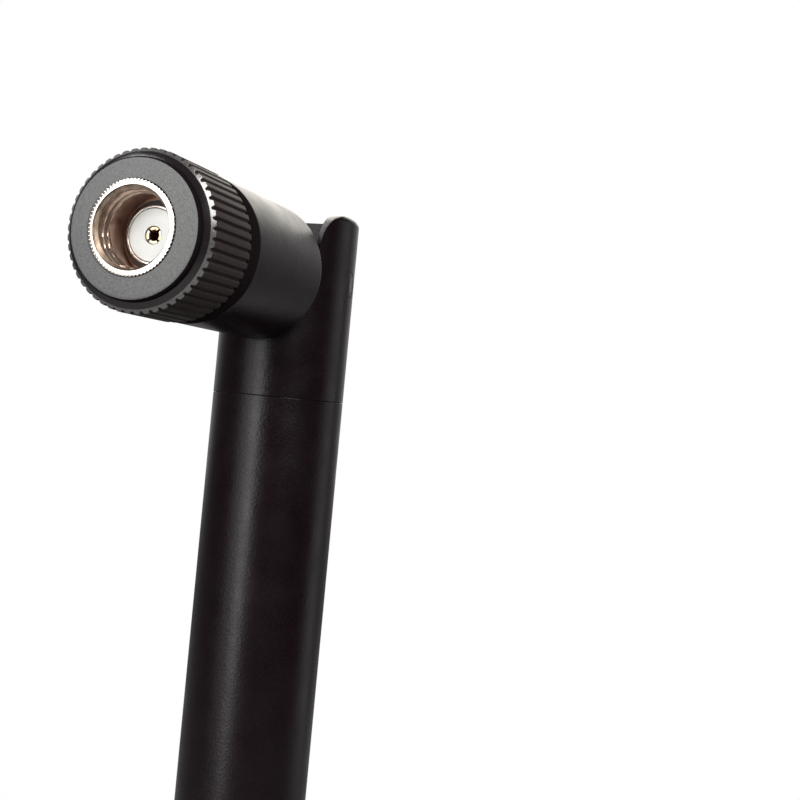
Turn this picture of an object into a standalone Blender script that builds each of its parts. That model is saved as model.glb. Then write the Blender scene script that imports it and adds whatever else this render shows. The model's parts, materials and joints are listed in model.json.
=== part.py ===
"""Articulated whip antenna with a knurled coaxial coupling nut.

The origin is the centre of the connector's mouth. The connector's axis runs along +Y, from the
mouth to the tilt hinge, and the hinge turns about X. The arm is modelled in line with the
connector and hangs bent down along -Z at rest. Units are metres.
"""

import math

import bmesh
import bpy
from mathutils import Matrix, Vector

MM = 0.001

# Fineness of round forms
LARGE_SEGMENTS = 52
MEDIUM_SEGMENTS = 30
SMALL_SEGMENTS = 18
WIRE_SEGMENTS = 8
ARC_STEPS = 4
EDGE_STEPS = 3
HEAD_STEPS = 20
SMOOTH_ANGLE = math.radians(32)
WELD = 1e-7
OVERSHOOT = 4.0 * MM

# Clearances
PRESS_GAP = 0.05 * MM
RUNNING_GAP = 0.10 * MM
SEAM_GAP = 0.12 * MM
HINGE_GAP = 0.20 * MM
SWING_GAP = 0.30 * MM
NUT_END_GAP = 0.30 * MM

# Coupling nut, grip
GRIP_RIM_RADIUS = 5.265 * MM
GRIP_RIM_ROUNDING = 0.25 * MM
GRIP_REAR_RADIUS = 5.30 * MM
GRIP_REAR_ROUNDING = 0.50 * MM
FRONT_RIM_LENGTH = 1.20 * MM
KNURL_LENGTH = 6.26 * MM
REAR_RIM_LENGTH = 0.64 * MM
KNURL_CREST_RADIUS = 6.06 * MM
KNURL_DEPTH = 0.24 * MM
KNURL_CHAMFER = 0.16 * MM
KNURL_RIDGES = 50
RIDGE_CREST_SHARE = 0.30
RIDGE_ROOT_SHARE = 0.28
REAR_WALL = 1.10 * MM

# Coupling nut, threaded insert
RING_RADIUS = 3.50 * MM
RING_PROUD = 0.10 * MM
RING_CHAMFER = 0.12 * MM
RING_LENGTH = 0.90 * MM
INSERT_RADIUS = 3.90 * MM
THREAD_PITCH_RADIUS = 2.95 * MM
THREAD_LENGTH = 2.30 * MM
MOUTH_CHAMFER = 0.22 * MM
RELIEF_RADIUS = 3.10 * MM
RELIEF_LENGTH = 2.15 * MM

# Connector body
RECESS_DEPTH = 3.23 * MM
LIP_RADIUS = 2.22 * MM
LIP_LENGTH = 1.12 * MM
BARREL_RADIUS = 2.68 * MM
COLLAR_RADIUS = 3.20 * MM
REAR_WEB = 0.52 * MM
POST_RADIUS = 0.85 * MM
POST_BORE = 0.50 * MM
POST_LENGTH = 4.00 * MM
INSULATOR_RADIUS = 2.00 * MM
INSULATOR_LENGTH = 7.60 * MM
CONTACT_RADIUS = 0.64 * MM
CONTACT_BORE = 0.47 * MM
CONTACT_BORE_DEPTH = 2.80 * MM
CONTACT_SLOT = 0.18 * MM
CONTACT_SLOT_DEPTH = 2.20 * MM
CONTACT_SLOT_TURN = math.radians(45)
CONTACT_RECESS = 0.10 * MM
CUP_RADIUS = 0.42 * MM
CUP_LENGTH = 1.10 * MM
CUP_DEPTH = 0.90 * MM
GASKET_THICKNESS = 0.35 * MM
GASKET_WIDTH = 0.45 * MM
SNAP_RING_WIDTH = 0.50 * MM
SNAP_RING_THICKNESS = 0.70 * MM
SNAP_RING_DEPTH = 0.33 * MM
SNAP_RING_OPENING = math.radians(28)
SNAP_LAND = 0.85 * MM

# Cable
JACKET_RADIUS = 0.90 * MM
CORE_RADIUS = 0.43 * MM
CONDUCTOR_RADIUS = 0.15 * MM
BRAID_THICKNESS = 0.16 * MM
CRIMP_THICKNESS = 0.28 * MM
CRIMP_LENGTH = 4.40 * MM
CABLE_CHANNEL_RADIUS = 1.10 * MM
CABLE_FAN_HALF_WIDTH = 1.25 * MM

# Base sleeve and knuckle
SLEEVE_RADIUS = 5.95 * MM
SLEEVE_LENGTH = 13.85 * MM
SLEEVE_FRONT_ROUNDING = 1.00 * MM
SLEEVE_REAR_ROUNDING = 0.55 * MM
SLEEVE_END_WALL = 3.60 * MM
KNUCKLE_HALF_WIDTH = 3.45 * MM
HEAD_RADIUS = 3.45 * MM
KNUCKLE_EDGE = 0.35 * MM
KNUCKLE_ROOT = 2.40 * MM
COVER_FOOT = 1.50 * MM
COVER_SHORTFALL = 0.35 * MM
CABLE_STOP = 1.20 * MM

# Hinge pins
PIN_RADIUS = 1.20 * MM
PIN_INNER_END = 1.80 * MM
PIN_CHAMFER = 0.20 * MM
PIN_RECESS = 0.04 * MM
PIN_DOME_RING = 0.66 * MM

# Arm
ARM_RADIUS = 5.96 * MM
EAR_REACH = 6.05 * MM
EAR_ROUNDING = 0.35 * MM
EAR_CORNER_RADIUS = 4.25 * MM
EAR_CORNER_OFFSET = 0.75 * MM
EAR_BLEND_WIDTH = 1.40 * MM
EAR_INNER_RADIUS = 3.70 * MM
EAR_INNER_RISE = 2.54 * MM
EAR_INNER_OFFSET = -0.62 * MM
EAR_FADE_END = 1.60 * MM
SEAM_STATION = 10.69 * MM
SEAM_CHAMFER = 0.10 * MM
SPIGOT_LENGTH = 5.80 * MM
SPIGOT_CHAMFER = 0.40 * MM
TIP_ROUNDING = 3.20 * MM
RADOME_WALL = 0.90 * MM
TIP_WALL = 1.20 * MM
TIP_ROOM = 10.70 * MM
REST_BEND = math.radians(90)

# Radiating parts
CHOKE_RADIUS = 2.50 * MM
CHOKE_WALL = 0.25 * MM
CHOKE_LENGTH = 28.0 * MM
CHOKE_END_WALL = 0.50 * MM
CHOKE_CLEARANCE = 3.51 * MM
BEAD_RADIUS = 1.50 * MM
BEAD_LENGTH = 1.20 * MM
WIRE_RADIUS = 0.40 * MM
WIRE_SOCKET_DEPTH = 1.50 * MM
LOWER_WHIP_LENGTH = 50.0 * MM
UPPER_WHIP_LENGTH = 44.0 * MM
COIL_RADIUS = 1.90 * MM
COIL_PITCH = 1.80 * MM
COIL_TURNS = 6
COIL_STEPS = 12
SPACER_LENGTH = 6.0 * MM
CHOKE_SPACER_SETBACK = 11.0 * MM
MIDDLE_SPACER_SETBACK = 26.7 * MM
TOP_SPACER_SETBACK = 22.1 * MM

# Stations along the connector's axis, measured from its mouth
KNURL_START = FRONT_RIM_LENGTH
KNURL_END = KNURL_START + KNURL_LENGTH
NUT_END = KNURL_END + REAR_RIM_LENGTH
INSERT_END = NUT_END - REAR_WALL - PRESS_GAP
SLEEVE_START = NUT_END + NUT_END_GAP
SLEEVE_END = SLEEVE_START + SLEEVE_LENGTH
EAR_CORNER_RISE = EAR_REACH - EAR_CORNER_RADIUS
EAR_SWING_RADIUS = EAR_CORNER_RADIUS + math.hypot(EAR_CORNER_OFFSET, EAR_CORNER_RISE)
PIVOT = SLEEVE_END + EAR_SWING_RADIUS + SWING_GAP
BARREL_START = RECESS_DEPTH + LIP_LENGTH
CAVITY_END = THREAD_LENGTH + RELIEF_LENGTH
SNAP_START = CAVITY_END + SNAP_LAND + RUNNING_GAP
SNAP_END = SNAP_START + SNAP_RING_WIDTH
INSULATOR_START = RECESS_DEPTH + PRESS_GAP
INSULATOR_END = INSULATOR_START + INSULATOR_LENGTH
CONTACT_START = INSULATOR_START + CONTACT_RECESS
CUP_END = INSULATOR_END + CUP_LENGTH
COLLAR_END = CUP_END + PRESS_GAP + REAR_WEB
POST_END = COLLAR_END + POST_LENGTH
SHELL_BORE_END = INSULATOR_END + PRESS_GAP
SLEEVE_BORE_END = SLEEVE_END - SLEEVE_END_WALL

# Stations along the arm, measured from the hinge
SPIGOT_END = SEAM_STATION + SPIGOT_LENGTH
CHOKE_START = SPIGOT_END + CHOKE_CLEARANCE
FEED_STATION = CHOKE_START + CHOKE_LENGTH
WHIP_START = FEED_STATION + BEAD_LENGTH + 2 * PRESS_GAP
COIL_START = WHIP_START + LOWER_WHIP_LENGTH
COIL_END = COIL_START + COIL_TURNS * COIL_PITCH
WHIP_END = COIL_END + UPPER_WHIP_LENGTH
ARM_LENGTH = WHIP_END + TIP_ROOM + TIP_WALL

# Radii that follow from a fit
BARREL_BORE = BARREL_RADIUS + RUNNING_GAP
SHELL_BORE = INSULATOR_RADIUS + PRESS_GAP
CONTACT_HOLE = CONTACT_RADIUS + PRESS_GAP
SNAP_GROOVE_FLOOR = BARREL_RADIUS - SNAP_RING_DEPTH
SNAP_RING_INNER = SNAP_GROOVE_FLOOR + RUNNING_GAP
SNAP_RING_OUTER = SNAP_RING_INNER + SNAP_RING_THICKNESS
SLOT_HALF_WIDTH = KNUCKLE_HALF_WIDTH + HINGE_GAP
SLOT_DEPTH = HEAD_RADIUS + HINGE_GAP
RADOME_BORE = ARM_RADIUS - RADOME_WALL
SPIGOT_RADIUS = RADOME_BORE - PRESS_GAP
KNURL_ROOT_RADIUS = KNURL_CREST_RADIUS - KNURL_DEPTH


def clear_scene():
    for item in list(bpy.data.objects):
        bpy.data.objects.remove(item, do_unlink=True)


def make_material(name, colour, roughness, metallic=0.0):
    material = bpy.data.materials.new(name)
    material.use_nodes = True
    shader = material.node_tree.nodes["Principled BSDF"]
    shader.inputs["Base Color"].default_value = (*colour, 1.0)
    shader.inputs["Roughness"].default_value = roughness
    shader.inputs["Metallic"].default_value = metallic
    return material


def add_object(name, mesh, material=None, parent=None):
    mesh.name = name
    mesh.shade_smooth()
    mesh.set_sharp_from_angle(angle=SMOOTH_ANGLE)
    item = bpy.data.objects.new(name, mesh)
    bpy.context.scene.collection.objects.link(item)
    item.parent = parent
    if material:
        mesh.materials.append(material)
    return item


def add_cutter(name, mesh, parent=None):
    """An object that only shapes others: it is not part of the antenna."""
    item = add_object(name, mesh, parent=parent)
    item.hide_render = True
    item.display_type = "WIRE"
    return item


def add_pivot(name, location, rotation=(0.0, 0.0, 0.0)):
    pivot = bpy.data.objects.new(name, None)
    pivot.location = location
    pivot.rotation_euler = rotation
    bpy.context.scene.collection.objects.link(pivot)
    return pivot


def shape(item, operation, cutter):
    modifier = item.modifiers.new(f"{operation.lower()} {cutter.name}", "BOOLEAN")
    modifier.operation = operation
    modifier.solver = "EXACT"
    modifier.object = cutter


def to_mesh(bm):
    bmesh.ops.recalc_face_normals(bm, faces=bm.faces)
    mesh = bpy.data.meshes.new("mesh")
    bm.to_mesh(mesh)
    bm.free()
    return mesh


def rounded_outline(corners):
    """Turns corners (u, v) or (u, v, rounding) into points, with an arc at each rounded corner."""
    points = []
    for index, corner in enumerate(corners):
        here = Vector(corner[:2])
        if len(corner) < 3:
            points.append(here)
            continue
        back = (Vector(corners[index - 1][:2]) - here).normalized()
        ahead = (Vector(corners[(index + 1) % len(corners)][:2]) - here).normalized()
        half_angle = back.angle(ahead) / 2
        centre = here + (back + ahead).normalized() * (corner[2] / math.sin(half_angle))
        start = here + back * (corner[2] / math.tan(half_angle)) - centre
        end = here + ahead * (corner[2] / math.tan(half_angle)) - centre
        sweep = start.angle_signed(end)
        for step in range(ARC_STEPS + 1):
            turn = Matrix.Rotation(-sweep * step / ARC_STEPS, 2)
            points.append(centre + turn @ start)
    return points


def turned(corners, segments, axis="Y"):
    """A solid of revolution. Each corner is (radius, station) or (radius, station, rounding)."""
    outline = rounded_outline(corners)
    bm = bmesh.new()
    verts = [bm.verts.new((radius, station, 0.0)) for radius, station in outline]
    sides = zip(verts, verts[1:] + verts[:1])
    edges = [bm.edges.new(side) for side in sides if max(side[0].co.x, side[1].co.x) > WELD]
    bmesh.ops.spin(
        bm,
        geom=verts + edges,
        cent=(0.0, 0.0, 0.0),
        axis=(0.0, 1.0, 0.0),
        angle=2 * math.pi,
        steps=segments,
    )
    bmesh.ops.remove_doubles(bm, verts=bm.verts, dist=WELD)
    poles = [vert for vert in bm.verts if math.hypot(vert.co.x, vert.co.z) < WELD]
    bmesh.ops.dissolve_verts(bm, verts=poles)
    if axis == "X":
        bmesh.ops.rotate(bm, verts=bm.verts, cent=(0.0, 0.0, 0.0), matrix=Matrix.Rotation(-math.pi / 2, 3, "Z"))
    return to_mesh(bm)


def tube(inner, outer, start, end, segments):
    return turned([(inner, start), (outer, start), (outer, end), (inner, end)], segments)


def box(low, high):
    bm = bmesh.new()
    size = Vector(high) - Vector(low)
    centre = (Vector(high) + Vector(low)) / 2
    bmesh.ops.create_cube(bm, size=1.0, matrix=Matrix.Translation(centre) @ Matrix.Diagonal((*size, 1.0)))
    return to_mesh(bm)


def side_prism(outline, half_width, edge_rounding=0.0):
    """A (y, z) outline drawn out along X. Its side edges are rounded, except at its lowest y."""
    bm = bmesh.new()
    face = bm.faces.new([bm.verts.new((-half_width, y, z)) for y, z in outline])
    grown = bmesh.ops.extrude_face_region(bm, geom=[face])
    moved = [part for part in grown["geom"] if isinstance(part, bmesh.types.BMVert)]
    bmesh.ops.translate(bm, verts=moved, vec=(2 * half_width, 0.0, 0.0))
    if edge_rounding:
        root = min(y for y, z in outline)
        rims = [
            edge
            for edge in bm.edges
            if abs(edge.verts[0].co.x - edge.verts[1].co.x) < WELD
            and max(vert.co.y for vert in edge.verts) > root + WELD
        ]
        bmesh.ops.bevel(bm, geom=rims, offset=edge_rounding, segments=EDGE_STEPS, profile=0.5, affect="EDGES")
    return to_mesh(bm)


def side_loft(sections):
    """Closed body through (y, z) outlines of equal length, each given with its own x."""
    bm = bmesh.new()
    rings = [[bm.verts.new((x, y, z)) for y, z in outline] for x, outline in sections]
    bm.faces.new(rings[0])
    bm.faces.new(reversed(rings[-1]))
    for near, far in zip(rings, rings[1:]):
        for index in range(len(near)):
            corners = (near[index], near[index - 1], far[index - 1], far[index])
            bm.faces.new(corners)
    bmesh.ops.triangulate(bm, faces=bm.faces)
    bmesh.ops.recalc_face_normals(bm, faces=bm.faces)
    return to_mesh(bm)


def arc(centre, radius, start, end, steps):
    """Points on an arc in the (y, z) plane, both ends included."""
    angles = [start + (end - start) * step / steps for step in range(steps + 1)]
    return [(centre + radius * math.cos(a), radius * math.sin(a)) for a in angles]


def ridged_prism():
    """The ring of straight knurl ridges, with the ends of the ridges chamfered."""
    pitch = 2 * math.pi / KNURL_RIDGES
    crest = RIDGE_CREST_SHARE * pitch / 2
    root = (1 - RIDGE_ROOT_SHARE) * pitch / 2
    tooth = [
        (-root, KNURL_ROOT_RADIUS),
        (-crest, KNURL_CREST_RADIUS),
        (crest, KNURL_CREST_RADIUS),
        (root, KNURL_ROOT_RADIUS),
    ]
    rings = [
        (KNURL_START, KNURL_CHAMFER),
        (KNURL_START + KNURL_CHAMFER, 0.0),
        (KNURL_END - KNURL_CHAMFER, 0.0),
        (KNURL_END, KNURL_CHAMFER),
    ]
    bm = bmesh.new()
    loops = []
    for station, drop in rings:
        loop = []
        for ridge in range(KNURL_RIDGES):
            for offset, radius in tooth:
                angle = ridge * pitch + offset
                reach = radius - drop
                loop.append(bm.verts.new((reach * math.cos(angle), station, reach * math.sin(angle))))
        loops.append(loop)
    for near, far in zip(loops, loops[1:]):
        for index in range(len(near)):
            after = (index + 1) % len(near)
            bm.faces.new((near[index], near[after], far[after], far[index]))
    bm.faces.new(loops[0])
    bm.faces.new(loops[-1])
    return to_mesh(bm)


def swept_wire(route, radius):
    """A round wire along a route of points, made as a curve with a bevel and turned into a mesh."""
    curve = bpy.data.curves.new("route", "CURVE")
    curve.dimensions = "3D"
    curve.bevel_depth = radius
    curve.bevel_resolution = WIRE_SEGMENTS // 2 - 2
    curve.use_fill_caps = True
    spline = curve.splines.new("POLY")
    spline.points.add(len(route) - 1)
    for point, place in zip(spline.points, route):
        point.co = (*place, 1.0)
    holder = bpy.data.objects.new("route", curve)
    bpy.context.scene.collection.objects.link(holder)
    bpy.context.view_layer.update()
    mesh = bpy.data.meshes.new_from_object(holder.evaluated_get(bpy.context.evaluated_depsgraph_get()))
    bpy.data.objects.remove(holder, do_unlink=True)
    bm = bmesh.new()
    bm.from_mesh(mesh)
    bmesh.ops.remove_doubles(bm, verts=bm.verts, dist=WELD)
    return to_mesh(bm)


def make_nut_grip(material, parent):
    """Moulded grip: two smooth rims with a ring of ridges between them."""
    insert_bore = INSERT_RADIUS + PRESS_GAP
    step = RING_LENGTH - PRESS_GAP
    grip = add_object(
        "nut_grip",
        turned(
            [
                (RING_RADIUS + PRESS_GAP, RING_PROUD),
                (GRIP_RIM_RADIUS, RING_PROUD, GRIP_RIM_ROUNDING),
                (GRIP_RIM_RADIUS, (KNURL_START + KNURL_END) / 2),
                (GRIP_REAR_RADIUS, (KNURL_START + KNURL_END) / 2),
                (GRIP_REAR_RADIUS, NUT_END, GRIP_REAR_ROUNDING),
                (BARREL_BORE, NUT_END),
                (BARREL_BORE, NUT_END - REAR_WALL),
                (insert_bore, NUT_END - REAR_WALL),
                (insert_bore, step),
                (RING_RADIUS + PRESS_GAP, step),
            ],
            LARGE_SEGMENTS,
        ),
        material,
        parent,
    )
    ridges = add_cutter("knurl_ridges", ridged_prism(), parent)
    bore_keeper = add_cutter(
        "knurl_bore",
        tube(0.0, insert_bore + PRESS_GAP, KNURL_START - OVERSHOOT, KNURL_END + OVERSHOOT, LARGE_SEGMENTS),
        parent,
    )
    shape(ridges, "DIFFERENCE", bore_keeper)
    shape(grip, "UNION", ridges)
    return grip


def make_nut_insert(material, parent):
    """Turned brass insert: mouth ring, thread, cavity, land and snap-ring groove."""
    groove_radius = SNAP_RING_OUTER + RUNNING_GAP
    corners = [
        (RING_RADIUS - RING_CHAMFER, 0.0),
        (RING_RADIUS, RING_CHAMFER),
        (RING_RADIUS, RING_LENGTH),
        (INSERT_RADIUS, RING_LENGTH),
        (INSERT_RADIUS, INSERT_END),
        (BARREL_BORE, INSERT_END),
        (BARREL_BORE, SNAP_END + RUNNING_GAP),
        (groove_radius, SNAP_END + RUNNING_GAP),
        (groove_radius, SNAP_START - RUNNING_GAP),
        (BARREL_BORE, SNAP_START - RUNNING_GAP),
        (BARREL_BORE, CAVITY_END),
        (RELIEF_RADIUS, CAVITY_END),
        (RELIEF_RADIUS, THREAD_LENGTH),
        (THREAD_PITCH_RADIUS, THREAD_LENGTH),
        (THREAD_PITCH_RADIUS, MOUTH_CHAMFER),
        (THREAD_PITCH_RADIUS + MOUTH_CHAMFER, 0.0),
    ]
    return add_object("nut_insert", turned(corners, MEDIUM_SEGMENTS), material, parent)


def make_ferrule_shell(material):
    """Connector body: lip, barrel with a snap-ring groove, press collar and crimp post."""
    corners = [
        (SHELL_BORE, RECESS_DEPTH),
        (LIP_RADIUS, RECESS_DEPTH),
        (LIP_RADIUS, BARREL_START),
        (BARREL_RADIUS, BARREL_START),
        (BARREL_RADIUS, SNAP_START - RUNNING_GAP),
        (SNAP_GROOVE_FLOOR, SNAP_START - RUNNING_GAP),
        (SNAP_GROOVE_FLOOR, SNAP_END + RUNNING_GAP),
        (BARREL_RADIUS, SNAP_END + RUNNING_GAP),
        (BARREL_RADIUS, SLEEVE_START + PRESS_GAP),
        (COLLAR_RADIUS, SLEEVE_START + PRESS_GAP),
        (COLLAR_RADIUS, COLLAR_END),
        (POST_RADIUS, COLLAR_END),
        (POST_RADIUS, POST_END),
        (POST_BORE, POST_END),
        (POST_BORE, CUP_END + PRESS_GAP),
        (CONTACT_HOLE, CUP_END + PRESS_GAP),
        (CONTACT_HOLE, SHELL_BORE_END),
        (SHELL_BORE, SHELL_BORE_END),
    ]
    return add_object("ferrule_shell", turned(corners, MEDIUM_SEGMENTS), material)


def make_dielectric(material):
    mesh = tube(CONTACT_HOLE, INSULATOR_RADIUS, INSULATOR_START, INSULATOR_END, MEDIUM_SEGMENTS)
    return add_object("dielectric", mesh, material)


def make_centre_contact(material):
    """Spring socket with two crossed slots in front and a solder cup behind."""
    bore_end = CONTACT_START + CONTACT_BORE_DEPTH
    corners = [
        (0.0, bore_end),
        (CONTACT_BORE, bore_end),
        (CONTACT_BORE, CONTACT_START),
        (CONTACT_RADIUS, CONTACT_START),
        (CONTACT_RADIUS, INSULATOR_END),
        (CUP_RADIUS, INSULATOR_END),
        (CUP_RADIUS, CUP_END),
        (CONDUCTOR_RADIUS + PRESS_GAP, CUP_END),
        (CONDUCTOR_RADIUS + PRESS_GAP, CUP_END - CUP_DEPTH),
        (0.0, CUP_END - CUP_DEPTH),
    ]
    contact = add_object("centre_contact", turned(corners, SMALL_SEGMENTS), material)
    half = CONTACT_SLOT / 2
    front = CONTACT_START - OVERSHOOT
    back = CONTACT_START + CONTACT_SLOT_DEPTH
    for name, turn in (("contact_slot_rising", CONTACT_SLOT_TURN), ("contact_slot_falling", -CONTACT_SLOT_TURN)):
        slot = add_cutter(name, box((-half, front, -OVERSHOOT), (half, back, OVERSHOOT)))
        slot.rotation_euler = (0.0, turn, 0.0)
        shape(contact, "DIFFERENCE", slot)
    return contact


def make_gasket(material):
    inner = LIP_RADIUS + PRESS_GAP
    end = BARREL_START - PRESS_GAP
    mesh = tube(inner, inner + GASKET_WIDTH, end - GASKET_THICKNESS, end, MEDIUM_SEGMENTS)
    return add_object("gasket", mesh, material)


def make_retaining_ring(material):
    """Open snap ring that keeps the nut on the barrel."""
    ring = add_object(
        "retaining_ring",
        tube(SNAP_RING_INNER, SNAP_RING_OUTER, SNAP_START, SNAP_END, MEDIUM_SEGMENTS),
        material,
    )
    half = SNAP_RING_OUTER * math.sin(SNAP_RING_OPENING / 2)
    low = (-half, SNAP_START - OVERSHOOT, 0.0)
    high = (half, SNAP_END + OVERSHOOT, SNAP_RING_OUTER + OVERSHOOT)
    shape(ring, "DIFFERENCE", add_cutter("snap_ring_opening", box(low, high)))
    return ring


def make_crimp_ferrule(material):
    inner = POST_RADIUS + 2 * PRESS_GAP + BRAID_THICKNESS
    start = COLLAR_END + PRESS_GAP
    mesh = tube(inner, inner + CRIMP_THICKNESS, start, start + CRIMP_LENGTH, SMALL_SEGMENTS)
    return add_object("crimp_ferrule", mesh, material)


def make_coax_lower(material):
    """Cable in the base: stripped conductor, core inside the post, braid over it, then jacket."""
    braid_inner = POST_RADIUS + PRESS_GAP
    braid_outer = braid_inner + BRAID_THICKNESS
    corners = [
        (0.0, CUP_END - CUP_DEPTH + PRESS_GAP),
        (CONDUCTOR_RADIUS, CUP_END - CUP_DEPTH + PRESS_GAP),
        (CONDUCTOR_RADIUS, CUP_END + 2 * PRESS_GAP),
        (CORE_RADIUS, CUP_END + 2 * PRESS_GAP),
        (CORE_RADIUS, POST_END + PRESS_GAP),
        (braid_inner, POST_END + PRESS_GAP),
        (braid_inner, COLLAR_END + 2 * PRESS_GAP),
        (braid_outer, COLLAR_END + 2 * PRESS_GAP),
        (braid_outer, POST_END + BRAID_THICKNESS + PRESS_GAP),
        (JACKET_RADIUS, POST_END + BRAID_THICKNESS + PRESS_GAP),
        (JACKET_RADIUS, PIVOT - CABLE_STOP),
        (0.0, PIVOT - CABLE_STOP),
    ]
    return add_object("coax_lower", turned(corners, SMALL_SEGMENTS), material)


def knuckle_outline():
    """Side view of the knuckle: a flat-sided neck that ends in a half-round head on the pivot."""
    root = SLEEVE_END - KNUCKLE_ROOT
    head = arc(PIVOT, HEAD_RADIUS, -math.pi / 2, math.pi / 2, HEAD_STEPS)
    return [(root, -HEAD_RADIUS), *head, (root, HEAD_RADIUS)]


def make_knuckle_cutters():
    """The hollows that the base sleeve and the neck cover share."""
    channel = add_cutter(
        "cable_channel",
        tube(0.0, CABLE_CHANNEL_RADIUS, SLEEVE_BORE_END - OVERSHOOT, PIVOT, SMALL_SEGMENTS),
    )
    bore = PIN_RADIUS + RUNNING_GAP
    start = PIN_INNER_END - RUNNING_GAP
    end = KNUCKLE_HALF_WIDTH + OVERSHOOT
    bores = []
    for side, name in ((1, "pin_bore_right"), (-1, "pin_bore_left")):
        mesh = turned([(0.0, side * start), (bore, side * start), (bore, side * end), (0.0, side * end)],
                      SMALL_SEGMENTS, "X")
        cutter = add_cutter(name, mesh)
        cutter.location = (0.0, PIVOT, 0.0)
        bores.append(cutter)
    return channel, bores


def make_base_sleeve(material, channel, bores):
    """Round sleeve with the neck and the rear half of the knuckle moulded on."""
    collar_bore = COLLAR_RADIUS + PRESS_GAP
    sleeve = add_object(
        "base_sleeve",
        turned(
            [
                (collar_bore, SLEEVE_START),
                (SLEEVE_RADIUS, SLEEVE_START, SLEEVE_FRONT_ROUNDING),
                (SLEEVE_RADIUS, SLEEVE_END, SLEEVE_REAR_ROUNDING),
                (0.0, SLEEVE_END),
                (0.0, SLEEVE_BORE_END),
                (collar_bore, SLEEVE_BORE_END),
            ],
            LARGE_SEGMENTS,
        ),
        material,
    )
    block = add_cutter("knuckle_block", side_prism(knuckle_outline(), KNUCKLE_HALF_WIDTH, KNUCKLE_EDGE))
    pocket_half = KNUCKLE_HALF_WIDTH + PRESS_GAP
    pocket = add_cutter(
        "cover_pocket",
        box(
            (-pocket_half, SLEEVE_END - COVER_FOOT - SEAM_GAP, -SEAM_GAP / 2),
            (pocket_half, PIVOT - COVER_SHORTFALL + SEAM_GAP, HEAD_RADIUS + PRESS_GAP),
        ),
    )
    fan = add_cutter(
        "cable_fan",
        box(
            (-CABLE_FAN_HALF_WIDTH, PIVOT - CABLE_FAN_HALF_WIDTH, -HEAD_RADIUS - OVERSHOOT),
            (CABLE_FAN_HALF_WIDTH, PIVOT + HEAD_RADIUS + OVERSHOOT, CABLE_FAN_HALF_WIDTH),
        ),
    )
    shape(sleeve, "UNION", block)
    for cutter in (pocket, channel, fan, *bores):
        shape(sleeve, "DIFFERENCE", cutter)
    return sleeve


def make_neck_cover(material, channel, bores):
    """Front half of the neck, which closes over the cable and foots in the sleeve."""
    mesh = side_prism(knuckle_outline(), KNUCKLE_HALF_WIDTH, KNUCKLE_EDGE)
    cover = add_object("neck_cover", mesh, material)
    keep = add_cutter(
        "cover_extent",
        box(
            (-KNUCKLE_HALF_WIDTH - OVERSHOOT, SLEEVE_END - COVER_FOOT, SEAM_GAP / 2),
            (KNUCKLE_HALF_WIDTH + OVERSHOOT, PIVOT - COVER_SHORTFALL, HEAD_RADIUS + OVERSHOOT),
        ),
    )
    shape(cover, "INTERSECT", keep)
    for cutter in (channel, *bores):
        shape(cover, "DIFFERENCE", cutter)
    return cover


def ear_corner(rise, offset, radius, beyond):
    """Outline of what is cut from an ear's end: a quarter round fading into the slot's edge."""
    bend = arc(-rise, radius, math.pi, 3 * math.pi / 2, HEAD_STEPS // 2)
    bend = [(y, z - offset) for y, z in bend]
    return [(-beyond, bend[0][1]), *bend, (EAR_FADE_END, -ARM_RADIUS), (-beyond, -beyond)]


def make_fork(material, arm):
    """Hinge fork: two ears round the knuckle, closed behind, with a spigot for the radome."""
    body = turned(
        [
            (0.0, -EAR_REACH),
            (ARM_RADIUS, -EAR_REACH, EAR_ROUNDING),
            (ARM_RADIUS, SEAM_STATION - SEAM_CHAMFER),
            (ARM_RADIUS - SEAM_CHAMFER, SEAM_STATION),
            (SPIGOT_RADIUS, SEAM_STATION),
            (SPIGOT_RADIUS, SPIGOT_END - SPIGOT_CHAMFER),
            (SPIGOT_RADIUS - SPIGOT_CHAMFER, SPIGOT_END),
            (0.0, SPIGOT_END),
        ],
        LARGE_SEGMENTS,
    )
    fork = add_object("fork", body, material, arm)
    beyond = ARM_RADIUS + OVERSHOOT
    slot = add_cutter(
        "knuckle_slot",
        box((-SLOT_HALF_WIDTH, -beyond, -beyond), (SLOT_HALF_WIDTH, SLOT_DEPTH, SLOT_DEPTH)),
        arm,
    )
    outer = ear_corner(EAR_CORNER_RISE, EAR_CORNER_OFFSET, EAR_CORNER_RADIUS, beyond)
    inner = ear_corner(EAR_INNER_RISE, EAR_INNER_OFFSET, EAR_INNER_RADIUS, beyond)
    wide = SLOT_HALF_WIDTH + EAR_BLEND_WIDTH
    sections = [
        (-beyond, outer),
        (-wide, outer),
        (-SLOT_HALF_WIDTH, inner),
        (SLOT_HALF_WIDTH, inner),
        (wide, outer),
        (beyond, outer),
    ]
    corner = add_cutter("ear_corners", side_loft(sections), arm)
    channel = add_cutter(
        "fork_channel",
        tube(0.0, CABLE_CHANNEL_RADIUS, 0.0, SPIGOT_END + OVERSHOOT, SMALL_SEGMENTS),
        arm,
    )
    hole = PIN_RADIUS + PRESS_GAP
    holes = add_cutter(
        "pin_holes",
        turned([(0.0, -beyond), (hole, -beyond), (hole, beyond), (0.0, beyond)], SMALL_SEGMENTS, "X"),
        arm,
    )
    for cutter in (slot, corner, channel, holes):
        shape(fork, "DIFFERENCE", cutter)
    return fork


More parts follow.
